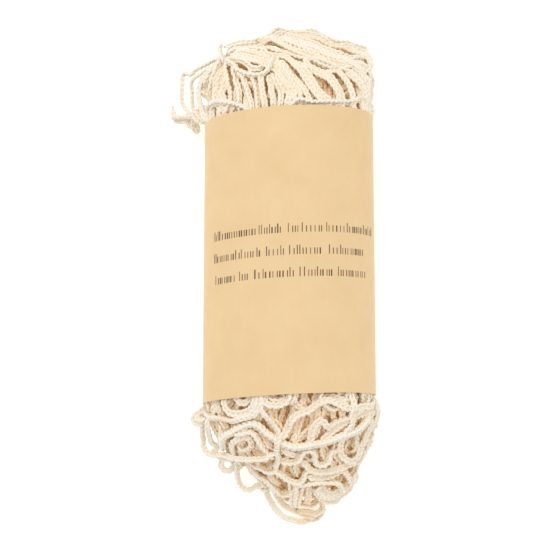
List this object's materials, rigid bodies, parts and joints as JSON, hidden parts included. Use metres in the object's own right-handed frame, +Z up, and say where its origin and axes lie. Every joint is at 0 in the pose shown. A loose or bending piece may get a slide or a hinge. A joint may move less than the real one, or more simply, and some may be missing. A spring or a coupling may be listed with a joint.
{
  "type": "shopping net",
  "caption": "Knitted cotton string bag folded into a flat roll, held by a kraft paper band that slides off.",
  "frame": {"origin": "centre of the paper band's flat underside, which the bundle rests on", "axes": "+Z up, +Y along the roll towards the handle end, +X across the roll to the right when it is seen from above with the handle end away"},
  "size_m": [0.0844, 0.1999, 0.0484],
  "materials": {
    "cotton_net": "unbleached knitted cotton cord, matt",
    "cotton_edge": "unbleached crocheted cotton edge, matt",
    "cotton_handle": "unbleached chain-knit cotton handle cords, matt",
    "kraft_paper": "uncoated kraft paper, matt, fine fibre",
    "paste": "dried paper paste"
  },
  "bodies": {
    "net_roll": {"mesh_body": "cotton_net", "base_seam": "cotton_edge", "mouth_edge": "cotton_edge", "handle_left": "cotton_handle", "handle_right": "cotton_handle", "handle_tacks": "cotton_edge", "yarn_tail": "cotton_edge"},
    "paper_sleeve": {"paper_band": "kraft_paper", "band_glue": "paste"}
  },
  "joints": [
    {"name": "band_slide", "type": "slide", "parent": "net_roll", "child": "paper_sleeve", "axis": [0, -1, 0], "range_m": [0, 0.172]}
  ]
}
